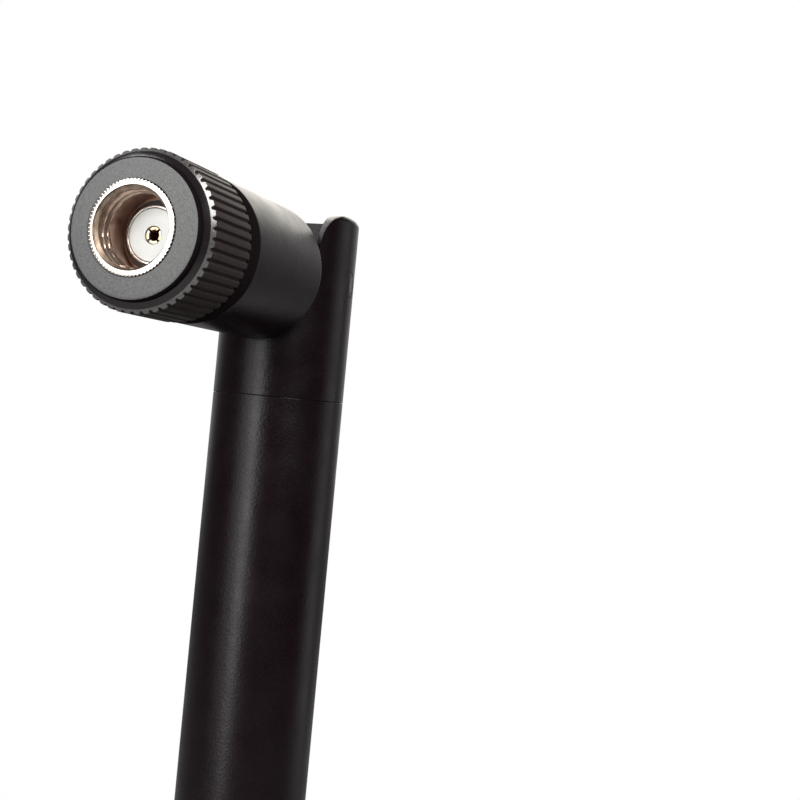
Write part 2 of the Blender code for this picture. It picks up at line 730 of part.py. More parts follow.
def make_hinge_pin(name, side, material, arm):
    """Stub pin pressed through one ear, with its outer end flush with the round of the arm."""
    outer = ARM_RADIUS - PIN_RECESS
    corners = [
        (0.0, PIN_INNER_END),
        (PIN_RADIUS - PIN_CHAMFER, PIN_INNER_END),
        (PIN_RADIUS, PIN_INNER_END + PIN_CHAMFER),
        (PIN_RADIUS, outer),
        (PIN_DOME_RING, outer),
        (0.0, outer),
    ]
    mesh = turned(corners, SMALL_SEGMENTS, "X")
    for vert in mesh.vertices:
        if vert.co.x > outer - WELD:
            vert.co.x = math.sqrt(outer ** 2 - vert.co.z ** 2)
    pin = add_object(name, mesh, material, arm)
    if side < 0:
        pin.rotation_euler = (0.0, math.pi, 0.0)
    return pin


def make_radome(material, arm):
    """Closed straight tube with a rounded tip, pushed over the fork's spigot."""
    start = SEAM_STATION + SEAM_GAP
    corners = [
        (RADOME_BORE, start),
        (ARM_RADIUS - SEAM_CHAMFER, start),
        (ARM_RADIUS, start + SEAM_CHAMFER),
        (ARM_RADIUS, ARM_LENGTH, TIP_ROUNDING),
        (0.0, ARM_LENGTH),
        (0.0, ARM_LENGTH - TIP_WALL),
        (RADOME_BORE, ARM_LENGTH - TIP_WALL, TIP_ROUNDING - RADOME_WALL),
    ]
    return add_object("radome", turned(corners, LARGE_SEGMENTS), material, arm)


def make_coax_upper(material, arm):
    """Cable in the arm: jacket up to the choke's end wall, then braid, core and conductor."""
    braid_radius = CORE_RADIUS + BRAID_THICKNESS
    jacket_end = FEED_STATION - CHOKE_END_WALL - PRESS_GAP
    core_end = FEED_STATION + BEAD_LENGTH + PRESS_GAP
    corners = [
        (0.0, CABLE_STOP),
        (JACKET_RADIUS, CABLE_STOP),
        (JACKET_RADIUS, jacket_end),
        (braid_radius, jacket_end),
        (braid_radius, FEED_STATION),
        (CORE_RADIUS, FEED_STATION),
        (CORE_RADIUS, core_end),
        (CONDUCTOR_RADIUS, core_end),
        (CONDUCTOR_RADIUS, core_end + WIRE_SOCKET_DEPTH - PRESS_GAP),
        (0.0, core_end + WIRE_SOCKET_DEPTH - PRESS_GAP),
    ]
    return add_object("coax_upper", turned(corners, SMALL_SEGMENTS), material, arm)


def make_choke_sleeve(material, arm):
    """Quarter-wave tube round the cable, with its end wall at the feed point."""
    bore = CHOKE_RADIUS - CHOKE_WALL
    hole = CORE_RADIUS + BRAID_THICKNESS + PRESS_GAP
    corners = [
        (bore, CHOKE_START),
        (CHOKE_RADIUS, CHOKE_START),
        (CHOKE_RADIUS, FEED_STATION),
        (hole, FEED_STATION),
        (hole, FEED_STATION - CHOKE_END_WALL),
        (bore, FEED_STATION - CHOKE_END_WALL),
    ]
    return add_object("choke_sleeve", turned(corners, MEDIUM_SEGMENTS), material, arm)


def make_feed_bead(material, arm):
    """Insulating bead between the choke and the whip."""
    start = FEED_STATION + PRESS_GAP
    mesh = tube(CORE_RADIUS + PRESS_GAP, BEAD_RADIUS, start, FEED_STATION + BEAD_LENGTH, SMALL_SEGMENTS)
    return add_object("feed_bead", mesh, material, arm)


def make_radiator_whip(material, arm):
    """One wire: straight, then a phasing coil round the axis, then straight again."""
    route = [(0.0, WHIP_START, 0.0), (0.0, COIL_START - COIL_PITCH, 0.0)]
    for step in range(COIL_TURNS * COIL_STEPS + 1):
        angle = 2 * math.pi * step / COIL_STEPS
        station = COIL_START + COIL_PITCH * step / COIL_STEPS
        route.append((COIL_RADIUS * math.cos(angle), station, COIL_RADIUS * math.sin(angle)))
    route.append((0.0, COIL_END + COIL_PITCH, 0.0))
    route.append((0.0, WHIP_END, 0.0))
    whip = add_object("radiator_whip", swept_wire(route, WIRE_RADIUS), material, arm)
    bore = CONDUCTOR_RADIUS + PRESS_GAP
    socket = add_cutter(
        "whip_socket",
        tube(0.0, bore, WHIP_START - OVERSHOOT, WHIP_START + WIRE_SOCKET_DEPTH, WIRE_SEGMENTS),
        arm,
    )
    shape(whip, "DIFFERENCE", socket)
    return whip


def make_spacer(name, inner, station, material, arm):
    """Foam ring that centres the radiating parts in the radome."""
    mesh = tube(inner + PRESS_GAP, RADOME_BORE - PRESS_GAP, station, station + SPACER_LENGTH, SMALL_SEGMENTS)
    return add_object(name, mesh, material, arm)


def main():
    clear_scene()

    black = make_material("moulded_black", (0.022, 0.021, 0.021), 0.55)
    grip_black = make_material("grip_black", (0.020, 0.019, 0.019), 0.50)
    nickel = make_material("nickel_plate", (0.78, 0.74, 0.68), 0.22, 1.0)
    gold = make_material("gold_plate", (0.83, 0.62, 0.26), 0.25, 1.0)
    brass = make_material("brass", (0.72, 0.55, 0.28), 0.35, 1.0)
    copper = make_material("copper_wire", (0.72, 0.38, 0.22), 0.35, 1.0)
    white = make_material("white_insulator", (0.86, 0.87, 0.85), 0.45)
    foam = make_material("pale_foam", (0.75, 0.75, 0.72), 0.90)
    rubber = make_material("seal_rubber", (0.05, 0.05, 0.05), 0.70)
    jacket = make_material("cable_jacket", (0.10, 0.07, 0.06), 0.50)

    nut_axis = add_pivot("nut_axis", (0.0, 0.0, 0.0))
    make_nut_grip(grip_black, nut_axis)
    make_nut_insert(nickel, nut_axis)

    make_ferrule_shell(nickel)
    make_dielectric(white)
    make_centre_contact(gold)
    make_gasket(rubber)
    make_retaining_ring(brass)
    make_crimp_ferrule(nickel)
    make_coax_lower(jacket)
    channel, bores = make_knuckle_cutters()
    make_base_sleeve(black, channel, bores)
    make_neck_cover(black, channel, bores)

    arm = add_pivot("arm_pivot", (0.0, PIVOT, 0.0), (-REST_BEND, 0.0, 0.0))
    make_fork(black, arm)
    make_hinge_pin("hinge_pin_left", -1, black, arm)
    make_hinge_pin("hinge_pin_right", 1, black, arm)
    make_radome(black, arm)
    make_coax_upper(jacket, arm)
    make_choke_sleeve(brass, arm)
    make_feed_bead(white, arm)
    make_radiator_whip(copper, arm)
    make_spacer("spacer_choke", CHOKE_RADIUS, CHOKE_START + CHOKE_SPACER_SETBACK, foam, arm)
    make_spacer("spacer_middle", WIRE_RADIUS, WHIP_START + MIDDLE_SPACER_SETBACK, foam, arm)
    make_spacer("spacer_top", WIRE_RADIUS, WHIP_END - TOP_SPACER_SETBACK, foam, arm)


main()
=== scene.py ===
"""Looks of the articulated whip antenna: finely turned outer pieces, materials, light and camera.

The connector's axis runs along +Y from its mouth at the origin. The arm hangs along -Z from the
tilt hinge, whose axis is X. Units are metres.
"""

import json
import math

import bmesh
import bpy
from mathutils import Matrix, Vector


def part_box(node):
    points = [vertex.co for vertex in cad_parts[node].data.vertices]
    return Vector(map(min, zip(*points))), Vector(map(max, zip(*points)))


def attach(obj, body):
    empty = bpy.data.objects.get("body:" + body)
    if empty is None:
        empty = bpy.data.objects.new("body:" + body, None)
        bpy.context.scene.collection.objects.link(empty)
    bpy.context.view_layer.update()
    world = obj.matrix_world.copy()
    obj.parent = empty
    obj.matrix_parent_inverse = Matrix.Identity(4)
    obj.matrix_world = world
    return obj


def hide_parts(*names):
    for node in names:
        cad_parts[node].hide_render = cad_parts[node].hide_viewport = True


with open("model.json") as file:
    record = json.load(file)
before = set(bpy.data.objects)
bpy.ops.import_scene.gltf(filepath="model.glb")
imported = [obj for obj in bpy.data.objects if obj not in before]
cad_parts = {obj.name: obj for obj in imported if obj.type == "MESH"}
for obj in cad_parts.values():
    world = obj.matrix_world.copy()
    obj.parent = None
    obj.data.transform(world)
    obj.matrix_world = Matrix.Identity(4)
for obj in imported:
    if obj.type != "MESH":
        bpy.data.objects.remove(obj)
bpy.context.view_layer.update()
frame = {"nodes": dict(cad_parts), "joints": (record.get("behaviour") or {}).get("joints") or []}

MM = 0.001

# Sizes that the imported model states
JOINTS = {joint["name"]: joint for joint in frame["joints"]}
PIVOT = JOINTS["tilt"]["pos_m"][1]
SLEEVE_LOW, SLEEVE_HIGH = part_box("base_sleeve")
SLEEVE_START = SLEEVE_LOW.y
SLEEVE_RADIUS = SLEEVE_HIGH.z
GRIP_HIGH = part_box("nut_grip")[1]
NUT_END = GRIP_HIGH.y
KNURL_CREST = GRIP_HIGH.x
FORK_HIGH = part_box("fork")[1]
ARM_RADIUS = FORK_HIGH.x
EAR_REACH = FORK_HIGH.z
RADOME_LOW, RADOME_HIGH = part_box("radome")
RADOME_START = -RADOME_HIGH.z
ARM_LENGTH = -RADOME_LOW.z

# Sizes that repeat the solids' own values
SLEEVE_LENGTH = 13.85 * MM
SLEEVE_END = SLEEVE_START + SLEEVE_LENGTH
KNUCKLE_HALF = 3.45 * MM
KNUCKLE_EDGE = 0.38 * MM
PIN_RADIUS = 1.20 * MM
THREAD_PITCH = 25.4 / 36 * MM
CHANNEL_RADIUS = 1.10 * MM

# Fineness of the meshes
FINE = 160
MEDIUM = 96
COARSE = 48
OUTER = 144
ARC_STEPS = 8
SHARP_ANGLE = math.radians(35)
WELD = 1e-7


def rounded_outline(corners):
    """Corners (u, v) or (u, v, rounding) as points, with an arc at each rounded corner."""
    points = []
    for index, corner in enumerate(corners):
        here = Vector(corner[:2])
        if len(corner) < 3:
            points.append(here)
            continue
        back = (Vector(corners[index - 1][:2]) - here).normalized()
        ahead = (Vector(corners[(index + 1) % len(corners)][:2]) - here).normalized()
        half_angle = back.angle(ahead) / 2
        centre = here + (back + ahead).normalized() * (corner[2] / math.sin(half_angle))
        start = here + back * (corner[2] / math.tan(half_angle)) - centre
        end = here + ahead * (corner[2] / math.tan(half_angle)) - centre
        sweep = start.angle_signed(end)
        for step in range(ARC_STEPS + 1):
            turn = Matrix.Rotation(-sweep * step / ARC_STEPS, 2)
            points.append(centre + turn @ start)
    return points


def finish_mesh(bm, name):
    bmesh.ops.recalc_face_normals(bm, faces=bm.faces)
    mesh = bpy.data.meshes.new(name)
    bm.to_mesh(mesh)
    bm.free()
    mesh.shade_smooth()
    mesh.set_sharp_from_angle(angle=SHARP_ANGLE)
    return mesh


def add_piece(name, mesh):
    piece = bpy.data.objects.new(name, mesh)
    bpy.context.scene.collection.objects.link(piece)
    return piece


def ring_solid(name, columns, rings, closed=True):
    """A solid of revolution about +Y from rings, each a function of the angle that gives
    (radius, station), or a plain (radius, station)."""
    bm = bmesh.new()
    loops = []
    for ring in rings:
        loop = []
        for column in range(columns):
            angle = 2 * math.pi * column / columns
            radius, station = ring(angle) if callable(ring) else ring
            loop.append(bm.verts.new((radius * math.cos(angle), station, radius * math.sin(angle))))
        loops.append(loop)
    pairs = list(zip(loops, loops[1:] + loops[:1])) if closed else list(zip(loops, loops[1:]))
    for near, far in pairs:
        for column in range(columns):
            after = (column + 1) % columns
            bm.faces.new((near[column], near[after], far[after], far[column]))
    if not closed:
        bm.faces.new(loops[0])
        bm.faces.new(loops[-1])
    return add_piece(name, finish_mesh(bm, name))


def turned(name, corners, segments=FINE, closed=True):
    outline = [(point.x, point.y) for point in rounded_outline(corners)]
    return ring_solid(name, segments, outline, closed)


def rod(name, radius, start, end, segments=COARSE):
    """A plain round bar about +Y."""
    return turned(name, [(radius, start), (radius, end)], segments, closed=False)


def box(name, low, high):
    bm = bmesh.new()
    size = Vector(high) - Vector(low)
    centre = (Vector(high) + Vector(low)) / 2
    shape = Matrix.Translation(centre) @ Matrix.Diagonal((*size, 1.0))
    bmesh.ops.create_cube(bm, size=1.0, matrix=shape)
    return add_piece(name, finish_mesh(bm, name))


def side_prism(name, outline, half_width, edge_rounding=0.0):
    """A (y, z) outline drawn out along X. Its side edges are rounded, except at its lowest y."""
    bm = bmesh.new()
    face = bm.faces.new([bm.verts.new((-half_width, y, z)) for y, z in outline])
    grown = bmesh.ops.extrude_face_region(bm, geom=[face])
    moved = [part for part in grown["geom"] if isinstance(part, bmesh.types.BMVert)]
    bmesh.ops.translate(bm, verts=moved, vec=(2 * half_width, 0.0, 0.0))
    if edge_rounding:
        root = min(y for y, z in outline)
        rims = [
            edge
            for edge in bm.edges
            if abs(edge.verts[0].co.x - edge.verts[1].co.x) < WELD
            and max(vert.co.y for vert in edge.verts) > root + WELD
        ]
        bmesh.ops.bevel(bm, geom=rims, offset=edge_rounding, segments=6, profile=0.5, affect="EDGES")
    return add_piece(name, finish_mesh(bm, name))


def side_loft(name, sections):
    """Closed piece through (y, z) outlines of equal length, each given with its own x."""
    bm = bmesh.new()
    loops = [[bm.verts.new((x, y, z)) for y, z in outline] for x, outline in sections]
    bm.faces.new(loops[0])
    bm.faces.new(loops[-1])
    for near, far in zip(loops, loops[1:]):
        for index in range(len(near)):
            bm.faces.new((near[index], near[index - 1], far[index - 1], far[index]))
    bmesh.ops.triangulate(bm, faces=bm.faces)
    return add_piece(name, finish_mesh(bm, name))


def arc(centre, radius, start, end, steps):
    angles = [start + (end - start) * step / steps for step in range(steps + 1)]
    return [(centre + radius * math.cos(a), radius * math.sin(a)) for a in angles]


def settle(piece):
    """Turns a piece's modifiers into its own mesh."""
    bpy.context.view_layer.update()
    mesh = bpy.data.meshes.new_from_object(piece.evaluated_get(bpy.context.evaluated_depsgraph_get()))
    piece.modifiers.clear()
    piece.data = mesh


def carve(piece, operation, cutters):
    for cutter in cutters:
        modifier = piece.modifiers.new(operation, "BOOLEAN")
        modifier.operation = operation
        modifier.solver = "EXACT"
        modifier.object = cutter
    settle(piece)
    for cutter in cutters:
        bpy.data.objects.remove(cutter, do_unlink=True)


def soften(piece, width):
    """Rounds the sharp edges that the cuts left, and welds what meets there."""
    modifier = piece.modifiers.new("soft_edges", "BEVEL")
    modifier.width = width
    modifier.segments = 3
    modifier.limit_method = "ANGLE"
    modifier.angle_limit = math.radians(40)
    modifier.use_clamp_overlap = True
    modifier.harden_normals = False
    settle(piece)
    bm = bmesh.new()
    bm.from_mesh(piece.data)
    bmesh.ops.remove_doubles(bm, verts=bm.verts, dist=WELD)
    bmesh.ops.dissolve_degenerate(bm, dist=WELD, edges=bm.edges)
    bm.to_mesh(piece.data)
    bm.free()


def even_shading(piece):
    """Smooth shading in which the large faces outweigh the narrow ones beside them."""
    piece.data.shade_smooth()
    piece.data.set_sharp_from_angle(angle=SHARP_ANGLE)
    modifier = piece.modifiers.new("even_shading", "WEIGHTED_NORMAL")
    modifier.keep_sharp = True
    settle(piece)


def at_pivot(turn, axis):
    """The move from the origin to the hinge, after a turn about one axis."""
    return Matrix.Translation((0.0, PIVOT, 0.0)) @ Matrix.Rotation(turn, 4, axis)


def hang(piece):
    """Turns a piece that was made in line with the connector into the arm's place at rest."""
    piece.data.transform(at_pivot(-math.pi / 2, "X"))


def paint(piece, *materials):
    piece.data.materials.clear()
    for material in materials:
        piece.data.materials.append(material)


def place(piece, body, slot, *nodes):
    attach(piece, body)
    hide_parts(*nodes)


# Materials


def links(material):
    return material.node_tree.nodes, material.node_tree.links


def new_material(name, colour, roughness, metallic=0.0, **sockets):
    material = bpy.data.materials.new(name)
    material.use_nodes = True
    shader = material.node_tree.nodes["Principled BSDF"]
    shader.inputs["Base Color"].default_value = (*colour, 1.0)
    shader.inputs["Roughness"].default_value = roughness
    shader.inputs["Metallic"].default_value = metallic
    for socket, value in sockets.items():
        shader.inputs[socket.replace("_", " ")].default_value = value
    return material


def noise(material, size, detail=2.0, stretch=(1.0, 1.0, 1.0)):
    """A noise whose grains are about this size, fixed to the piece."""
    nodes, wires = links(material)
    place_node = nodes.new("ShaderNodeTexCoord")
    mapping = nodes.new("ShaderNodeMapping")
    mapping.inputs["Scale"].default_value = stretch
    texture = nodes.new("ShaderNodeTexNoise")
    texture.inputs["Scale"].default_value = 1.0 / size
    texture.inputs["Detail"].default_value = detail
    wires.new(place_node.outputs["Object"], mapping.inputs["Vector"])
    wires.new(mapping.outputs["Vector"], texture.inputs["Vector"])
    return texture.outputs["Fac"]


def span(material, source, low, high, source_low=0.3, source_high=0.7):
    nodes, wires = links(material)
    node = nodes.new("ShaderNodeMapRange")
    node.inputs["From Min"].default_value = source_low
    node.inputs["From Max"].default_value = source_high
    node.inputs["To Min"].default_value = low
    node.inputs["To Max"].default_value = high
    wires.new(source, node.inputs["Value"])
    return node.outputs["Result"]


def ramp(material, source, stops):
    nodes, wires = links(material)
    node = nodes.new("ShaderNodeValToRGB")
    elements = node.color_ramp.elements
    while len(elements) < len(stops):
        elements.new(0.5)
    for element, (position, colour) in zip(elements, stops):
        element.position = position
        element.color = (*colour, 1.0)
    wires.new(source, node.inputs["Fac"])
    return node.outputs["Color"]


def bump(material, *layers):
    """Layers of (height source, depth), each added on the one before."""
    nodes, wires = links(material)
    shader = nodes["Principled BSDF"]
    normal = None
    for source, depth in layers:
        node = nodes.new("ShaderNodeBump")
        node.inputs["Strength"].default_value = 1.0
        node.inputs["Distance"].default_value = depth
        wires.new(source, node.inputs["Height"])
        if normal:
            wires.new(normal, node.inputs["Normal"])
        normal = node.outputs["Normal"]
    wires.new(normal, shader.inputs["Normal"])


def into(material, socket, source):
    nodes, wires = links(material)
    wires.new(source, nodes["Principled BSDF"].inputs[socket])


def mottled(material, size, dark, light, low=0.35, high=0.65):
    """Colours a material between two shades, in marks of about this size."""
    marks = noise(material, size)
    into(material, "Base Color", ramp(material, marks, [(low, dark), (high, light)]))
    return marks


def uneven_gloss(material, size, low, high):
    into(material, "Roughness", span(material, noise(material, size), low, high))


def grained_plastic(name, dark, light, roughness, grain, depth, specular):
    material = new_material(name, dark, roughness, Specular_IOR_Level=specular)
    fine = noise(material, grain)
    cloud = noise(material, 3.0 * MM, 3.0)
    middle = tuple((low + high) / 2 for low, high in zip(dark, light))
    into(material, "Base Color", ramp(material, fine, [(0.35, dark), (0.5, middle), (0.65, light)]))
    into(material, "Roughness", span(material, cloud, roughness - 0.05, roughness + 0.06))
    bump(material, (cloud, 0.012 * MM), (fine, depth))
    return material


# Painted shade: near-black colours, darker than the grip's black, for the nut's recessed and shaded faces
# and for the sleeve's front band behind the nut
PAINTED_SHADE_DARK = (0.0056, 0.0040, 0.0047)
PAINTED_SHADE_LIGHT = (0.0088, 0.0062, 0.0072)

moulded_black = grained_plastic(
    "moulded_black_grained",
    dark=(0.0020, 0.0003, 0.0011),
    light=(0.0042, 0.0010, 0.0022),
    roughness=0.31,
    grain=0.22 * MM,
    depth=0.014 * MM,
    specular=0.17,
)
grip_black = grained_plastic(
    "grip_black_moulded",
    dark=(0.020, 0.0155, 0.0157),
    light=(0.035, 0.0275, 0.0275),
    roughness=0.46,
    grain=0.09 * MM,
    depth=0.006 * MM,
    specular=0.03,
)
grip_face = grained_plastic(
    "grip_face_textured",
    dark=(0.088, 0.089, 0.092),
    light=(0.128, 0.130, 0.128),
    roughness=0.60,
    grain=0.12 * MM,
    depth=0.016 * MM,
    specular=0.16,
)
# Matt plastic in the painted shade colours
grip_shade_paint = grained_plastic(
    "grip_painted_shade_matt",
    dark=PAINTED_SHADE_DARK,
    light=PAINTED_SHADE_LIGHT,
    roughness=0.55,
    grain=0.12 * MM,
    depth=0.006 * MM,
    specular=0.0,
)
# Glossy plastic in the painted shade colours, for the flat step in front of the ridges
grip_step = grained_plastic(
    "grip_step_glossy",
    dark=PAINTED_SHADE_DARK,
    light=PAINTED_SHADE_LIGHT,
    roughness=0.20,
    grain=0.12 * MM,
    depth=0.006 * MM,
    specular=0.40,
)
# Lighter than the grip's black, for the ridges' cone-cut front ends: the lighter colour is a painted
# highlight, and the high gloss catches the lamps' real highlight
grip_highlight_paint = grained_plastic(
    "grip_edge_painted_highlight",
    dark=(0.032, 0.030, 0.030),
    light=(0.066, 0.063, 0.061),
    roughness=0.26,
    grain=0.12 * MM,
    depth=0.006 * MM,
    specular=1.0,
)

nickel = new_material("nickel_turned", (0.80, 0.74, 0.68), 0.16, 1.0)
lathe = noise(nickel, 0.5 * MM, 2.0, (0.2, 8.0, 0.2))
into(nickel, "Roughness", span(nickel, lathe, 0.12, 0.24))
bump(nickel, (lathe, 0.002 * MM))

# Darker, browner copy of the nickel for the thread: painted shade of the nut's inside
thread_shade_paint = new_material("nickel_thread_painted_shade", (0.42, 0.31, 0.26), 0.26, 1.0)
mottled(thread_shade_paint, 0.6 * MM, (0.36, 0.27, 0.22), (0.60, 0.44, 0.35))

# Darkest copy of the nickel, for the mouth's chamfer: painted shade
chamfer = new_material("nickel_chamfer_painted_shade", (0.25, 0.19, 0.15), 0.50, 1.0)
mottled(chamfer, 0.8 * MM, (0.13, 0.10, 0.075), (0.26, 0.195, 0.15))

# Lighter, warmer copy of the nickel with a diffuse share, for the relief groove: painted light deep in the
# nut
relief_light_paint = new_material("nickel_relief_painted_light", (0.60, 0.41, 0.33), 0.60, 0.70)
mottled(relief_light_paint, 1.5 * MM, (0.50, 0.34, 0.27), (0.78, 0.54, 0.43))

gold = new_material("gold_turned", (0.76, 0.62, 0.38), 0.45, 1.0)
mottled(gold, 0.2 * MM, (0.62, 0.46, 0.24), (0.90, 0.80, 0.58))

# Darker gold for the inside of the contact's socket: painted shade in the hollow
gold_painted_shade = new_material("gold_painted_shade_inside", (0.22, 0.12, 0.05), 0.5, 1.0)
uneven_gloss(gold_painted_shade, 0.2 * MM, 0.40, 0.60)

brass = new_material("brass_drawn", (0.72, 0.55, 0.28), 0.32, 1.0)
uneven_gloss(brass, 0.4 * MM, 0.26, 0.40)

copper = new_material("copper_drawn", (0.72, 0.38, 0.22), 0.32, 1.0)
uneven_gloss(copper, 0.3 * MM, 0.26, 0.42)

white = new_material(
    "insulator_white",
    (0.78, 0.80, 0.78),
    0.42,
    Subsurface_Weight=0.15,
    Subsurface_Radius=(1 * MM, 1 * MM, 1 * MM),
    Subsurface_Scale=0.3,
)
mottled(white, 1.5 * MM, (0.80, 0.82, 0.80), (0.86, 0.88, 0.85), 0.3, 0.7)
bump(white, (noise(white, 0.12 * MM), 0.003 * MM))

foam = new_material("foam_pale", (0.75, 0.75, 0.72), 0.9)
foam_cells = mottled(foam, 0.4 * MM, (0.66, 0.66, 0.63), (0.80, 0.80, 0.77), 0.3, 0.7)
bump(foam, (foam_cells, 0.05 * MM))

rubber = new_material("rubber_dark", (0.05, 0.05, 0.05), 0.7)
uneven_gloss(rubber, 0.15 * MM, 0.6, 0.8)

jacket = new_material("jacket_brown", (0.10, 0.07, 0.06), 0.45)
uneven_gloss(jacket, 0.3 * MM, 0.38, 0.55)

CAD_MATERIALS = {
    "gasket": rubber,
    "retaining_ring": brass,
    "crimp_ferrule": nickel,
    "coax_lower": jacket,
    "coax_upper": jacket,
    "choke_sleeve": brass,
    "feed_bead": white,
    "radiator_whip": copper,
    "spacer_choke": foam,
    "spacer_middle": foam,
    "spacer_top": foam,
}
for node_name, material in CAD_MATERIALS.items():
    paint(frame["nodes"][node_name], material)


# Coupling nut

RIDGES = 50
RIDGE_COLUMNS = 16
RIDGE_FOOT = 0.45
RIDGE_SHOULDER = 0.22
KNURL_DEPTH = 0.20 * MM
CONE_SKIRT = 0.12 * MM
STEP_RISE = 0.17 * MM
CONE_SLOPE = 0.80
FACE_FALL = 0.30 * MM
CONE_STEPS = 10
KNURL_START = 1.20 * MM
KNURL_END = 7.46 * MM
RIDGE_END_ROUNDING = 0.20 * MM
RIDGE_END_STEPS = 6
RIM_RADIUS = 5.265 * MM
REAR_RADIUS = 5.30 * MM
RING_RADIUS = 3.50 * MM
RING_GAP = 0.05 * MM
GRIP_BORE = 3.95 * MM
BARREL_BORE = 2.78 * MM
RING_PROUD = 0.10 * MM
GRIP_SHELF = 0.85 * MM
GRIP_REAR_WALL = 1.10 * MM
# Places in the grip's list of materials, after the black of its body
GRIP_FACE, GRIP_EDGE_HIGHLIGHT, GRIP_PAINTED_SHADE, GRIP_STEP = range(1, 5)


def ridge_height(angle):
    """1 on a ridge's crest and 0 in a groove, with soft shoulders."""
    share = (angle * RIDGES / (2 * math.pi) + 0.5) % 1.0 - 0.5
    rise = min(max((RIDGE_FOOT - abs(share)) / RIDGE_SHOULDER, 0.0), 1.0)
    return rise * rise * (3 - 2 * rise)


def ridged(station, drop):
    def ring(angle):
        height = ridge_height(angle)
        return KNURL_CREST - KNURL_DEPTH * (1 - height) - drop, station

    return ring


def coned(step):
    """The ridges' front ends, cut off by a cone that starts a little below the grooves' floor."""
    rise = (KNURL_DEPTH + CONE_SKIRT) * step / CONE_STEPS

    def ring(angle):
        ridge = KNURL_CREST - KNURL_DEPTH * (1 - ridge_height(angle))
        cone = KNURL_CREST - KNURL_DEPTH - CONE_SKIRT + rise
        return min(ridge, cone), KNURL_START + rise * CONE_SLOPE

    return ring


def make_grip():
    front = rounded_outline(
        [
            (RING_RADIUS + RING_GAP, RING_PROUD + 2 * MM),
            (RING_RADIUS + RING_GAP, RING_PROUD, 0.06 * MM),
            (RIM_RADIUS, RING_PROUD + FACE_FALL, 0.40 * MM),
            (RIM_RADIUS, KNURL_START - STEP_RISE),
        ]
    )[1:]
    rear = rounded_outline(
        [
            (REAR_RADIUS, KNURL_END),
            (REAR_RADIUS, NUT_END, 0.50 * MM),
            (BARREL_BORE, NUT_END, 0.10 * MM),
            (BARREL_BORE, NUT_END - GRIP_REAR_WALL),
        ]
    )
    rise = [coned(step) for step in range(CONE_STEPS + 1)]
    fall = []
    for step in range(RIDGE_END_STEPS, -1, -1):
        turn = step * math.pi / 2 / RIDGE_END_STEPS
        station = KNURL_END - RIDGE_END_ROUNDING * (1 - math.cos(turn))
        fall.append(ridged(station, RIDGE_END_ROUNDING * (1 - math.sin(turn))))
    rings = [tuple(point) for point in front] + rise + fall + [tuple(point) for point in rear]
    rings += [
        (GRIP_BORE, NUT_END - GRIP_REAR_WALL),
        (GRIP_BORE, GRIP_SHELF),
        (RING_RADIUS + RING_GAP, GRIP_SHELF),
    ]
    grip = ring_solid("nut_grip_knurled", RIDGES * RIDGE_COLUMNS, rings)
    paint(grip, grip_black, grip_face, grip_highlight_paint, grip_shade_paint, grip_step)
    cone_end = KNURL_START + (KNURL_DEPTH + CONE_SKIRT) * CONE_SLOPE
    # The front face takes its textured grey. The ridges' cone-cut front ends take the painted highlight. The
    # flat step, the rim's side, the rear rim and the other front-facing faces take the painted shade
    # colours.
    for face in grip.data.polygons:
        if face.normal.y < -0.8 and face.center.y < RING_PROUD + FACE_FALL + 0.1 * MM:
            face.material_index = GRIP_FACE
        elif -0.95 < face.normal.y < -0.35 and KNURL_START < face.center.y < cone_end:
            face.material_index = GRIP_EDGE_HIGHLIGHT
        elif face.normal.y < -0.85 and KNURL_START - STEP_RISE < face.center.y < KNURL_START:
            face.material_index = GRIP_STEP
        elif math.hypot(face.center.x, face.center.z) < RIM_RADIUS + 0.04 * MM or face.normal.y < -0.95:
            face.material_index = GRIP_PAINTED_SHADE
    place(grip, "nut", "grip_black", "nut_grip")


SERRATIONS = 72
SERRATION_COLUMNS = 6
SERRATION_DEPTH = 0.09 * MM
SERRATION_WIDTH = 1.6
RING_TEETH = RING_RADIUS + RING_GAP - 0.005 * MM
MOUTH_RADIUS = 3.12 * MM
MOUTH_CHAMFER_END = 0.46 * MM
RING_FLAT = 3.44 * MM
INSERT_RADIUS = 3.90 * MM
INSERT_SHOULDER = 0.90 * MM
INSERT_END = 6.95 * MM
THREAD_MAJOR = 3.16 * MM
THREAD_MINOR = 2.80 * MM
THREAD_START = 0.02 * MM
THREAD_END = 2.30 * MM
THREAD_ROWS = 64
THREAD_CREST = 0.17
THREAD_FLANK = 0.22
RELIEF_RADIUS = 3.10 * MM
RELIEF_END = 4.45 * MM
# Places in the insert's list of materials, after its plain nickel
INSERT_THREAD, INSERT_RELIEF, INSERT_CHAMFER = range(1, 4)


def thread_ring(station):
    """One ring of the right-hand thread. The mouth's chamfer cuts its first turn."""

    def ring(angle):
        share = (station / THREAD_PITCH + angle / (2 * math.pi)) % 1.0
        slope = min(max((abs(share - 0.5) - THREAD_CREST) / THREAD_FLANK, 0.0), 1.0)
        radius = THREAD_MAJOR - (THREAD_MAJOR - THREAD_MINOR) * slope
        return max(radius, THREAD_MAJOR - station), station

    return ring


def serrated(radius, station, depth):
    """One ring of the fine teeth round the insert's front."""

    def ring(angle):
        wave = 0.5 + 0.5 * math.cos(angle * SERRATIONS)
        return radius - depth * (1 - min(wave * SERRATION_WIDTH, 1.0)), station

    return ring


